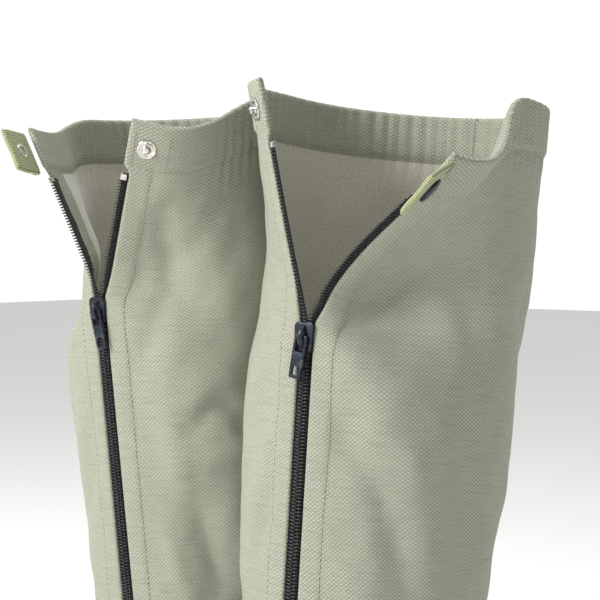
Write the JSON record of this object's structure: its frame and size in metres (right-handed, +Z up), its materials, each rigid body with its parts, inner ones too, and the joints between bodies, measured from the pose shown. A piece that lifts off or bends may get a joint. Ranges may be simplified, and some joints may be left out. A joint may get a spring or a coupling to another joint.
{
  "type": "gaiters",
  "caption": "Pair of zip-fronted softshell hiking gaiters standing as worn, unzipped part way, with snap tabs, elastic hems and buckled instep straps.",
  "frame": {"origin": "middle of the foot of the bounding box of the pair, on the floor under the instep straps", "axes": "+Z up, toes to -Y, the wearer's left gaiter on +X"},
  "size_m": [0.3798, 0.2144, 0.4341],
  "materials": {
    "face_fabric": "matt grey-green stretch twill",
    "hem_elastic": "woven elastic",
    "tab_webbing": "ribbed olive webbing",
    "zip_nylon": "black nylon coil and woven tape",
    "gunmetal_hardware": "dark gunmetal, satin",
    "nickel_hardware": "nickel plated, polished",
    "coated_strap": "black coated strap, satin"
  },
  "bodies": {
    "fixed": {"left_outer_panel": "face_fabric", "left_inner_panel": "face_fabric", "left_top_hem": "face_fabric", "left_top_elastic": "hem_elastic", "left_foot_hem": "face_fabric", "left_foot_elastic": "hem_elastic", "left_closed_chain": "zip_nylon", "left_bottom_stop": "nickel_hardware", "left_outer_tape": "zip_nylon", "left_inner_tape": "zip_nylon", "left_lace_hook": "nickel_hardware", "left_long_strap": "coated_strap", "left_buckle_strap": "coated_strap", "left_outer_rivet": "nickel_hardware", "left_inner_rivet": "nickel_hardware", "left_buckle_frame": "nickel_hardware", "right_outer_panel": "face_fabric", "right_inner_panel": "face_fabric", "right_top_hem": "face_fabric", "right_top_elastic": "hem_elastic", "right_foot_hem": "face_fabric", "right_foot_elastic": "hem_elastic", "right_closed_chain": "zip_nylon", "right_bottom_stop": "nickel_hardware", "right_outer_tape": "zip_nylon", "right_inner_tape": "zip_nylon", "right_lace_hook": "nickel_hardware", "right_long_strap": "coated_strap", "right_buckle_strap": "coated_strap", "right_outer_rivet": "nickel_hardware", "right_inner_rivet": "nickel_hardware", "right_buckle_frame": "nickel_hardware"},
    "left_overlap": {"left_overlap_flap": "face_fabric", "left_overlap_chain": "zip_nylon", "left_overlap_top_stop": "nickel_hardware"},
    "left_tab": {"left_snap_tab": "tab_webbing", "left_snap_socket": "nickel_hardware", "left_snap_cap": "gunmetal_hardware"},
    "left_stud": {"left_stud_flap": "face_fabric", "left_stud_chain": "zip_nylon", "left_stud_top_stop": "nickel_hardware", "left_press_stud": "nickel_hardware", "left_stud_rivet": "nickel_hardware"},
    "left_zip_slider": {"left_slider": "gunmetal_hardware"},
    "left_pull": {"left_pull_tab": "gunmetal_hardware"},
    "left_prong": {"left_buckle_prong": "nickel_hardware"},
    "right_overlap": {"right_overlap_flap": "face_fabric", "right_overlap_chain": "zip_nylon", "right_overlap_top_stop": "nickel_hardware"},
    "right_tab": {"right_snap_tab": "tab_webbing", "right_snap_socket": "nickel_hardware", "right_snap_cap": "gunmetal_hardware"},
    "right_stud": {"right_stud_flap": "face_fabric", "right_stud_chain": "zip_nylon", "right_stud_top_stop": "nickel_hardware", "right_press_stud": "nickel_hardware", "right_stud_rivet": "nickel_hardware"},
    "right_zip_slider": {"right_slider": "gunmetal_hardware"},
    "right_pull": {"right_pull_tab": "gunmetal_hardware"},
    "right_prong": {"right_buckle_prong": "nickel_hardware"}
  },
  "joints": [
    {"name": "left_overlap_hinge", "type": "hinge", "parent": "fixed", "child": "left_overlap", "pos_m": [0.07386, -0.0707, 0.2974], "axis": [-0.4206, -0.5758, -0.7011], "range_deg": [0, 71.7]},
    {"name": "left_stud_hinge", "type": "hinge", "parent": "fixed", "child": "left_stud", "pos_m": [0.07386, -0.0707, 0.2974], "axis": [-0.3237, 0.1846, 0.928], "range_deg": [0, 37.5]},
    {"name": "left_tab_hinge", "type": "hinge", "parent": "left_overlap", "child": "left_tab", "pos_m": [0.07561, -0.07231, 0.29526], "axis": [-0.7493, 0.0626, -0.6593], "range_deg": [0, 50]},
    {"name": "left_zip_slide", "type": "slide", "parent": "fixed", "child": "left_zip_slider", "axis": [-0.0468, -0.0379, -0.9982], "range_m": [0, 0.15]},
    {"name": "left_pull_hinge", "type": "hinge", "parent": "left_zip_slider", "child": "left_pull", "pos_m": [0.0737, -0.07581, 0.28909], "axis": [-0.9815, -0.0419, 0.1871], "range_deg": [0, 160]},
    {"name": "left_prong_hinge", "type": "hinge", "parent": "fixed", "child": "left_prong", "pos_m": [0.12925, -0.00947, 0.0349], "axis": [0.0523, -0.9986, 0], "range_deg": [0, 60]},
    {"name": "right_overlap_hinge", "type": "hinge", "parent": "fixed", "child": "right_overlap", "pos_m": [-0.09962, -0.06527, 0.30724], "axis": [-0.2491, 0.2672, 0.9309], "range_deg": [0, 63.3]},
    {"name": "right_stud_hinge", "type": "hinge", "parent": "fixed", "child": "right_stud", "pos_m": [-0.09962, -0.06527, 0.30724], "axis": [-0.2739, -0.4501, -0.8499], "range_deg": [0, 46.1]},
    {"name": "right_tab_hinge", "type": "hinge", "parent": "right_overlap", "child": "right_tab", "pos_m": [-0.10206, -0.06681, 0.30586], "axis": [-0.4508, -0.0806, 0.889], "range_deg": [-40, 10]},
    {"name": "right_zip_slide", "type": "slide", "parent": "fixed", "child": "right_zip_slider", "axis": [0.0488, 0.0779, -0.9958], "range_m": [0, 0.18]},
    {"name": "right_pull_hinge", "type": "hinge", "parent": "right_zip_slider", "child": "right_pull", "pos_m": [-0.09919, -0.0694, 0.2984], "axis": [-0.9823, 0.0117, -0.1869], "range_deg": [0, 160]},
    {"name": "right_prong_hinge", "type": "hinge", "parent": "fixed", "child": "right_prong", "pos_m": [-0.15726, 0.02087, 0.0349], "axis": [0, 1, 0], "range_deg": [0, 60]}
  ]
}
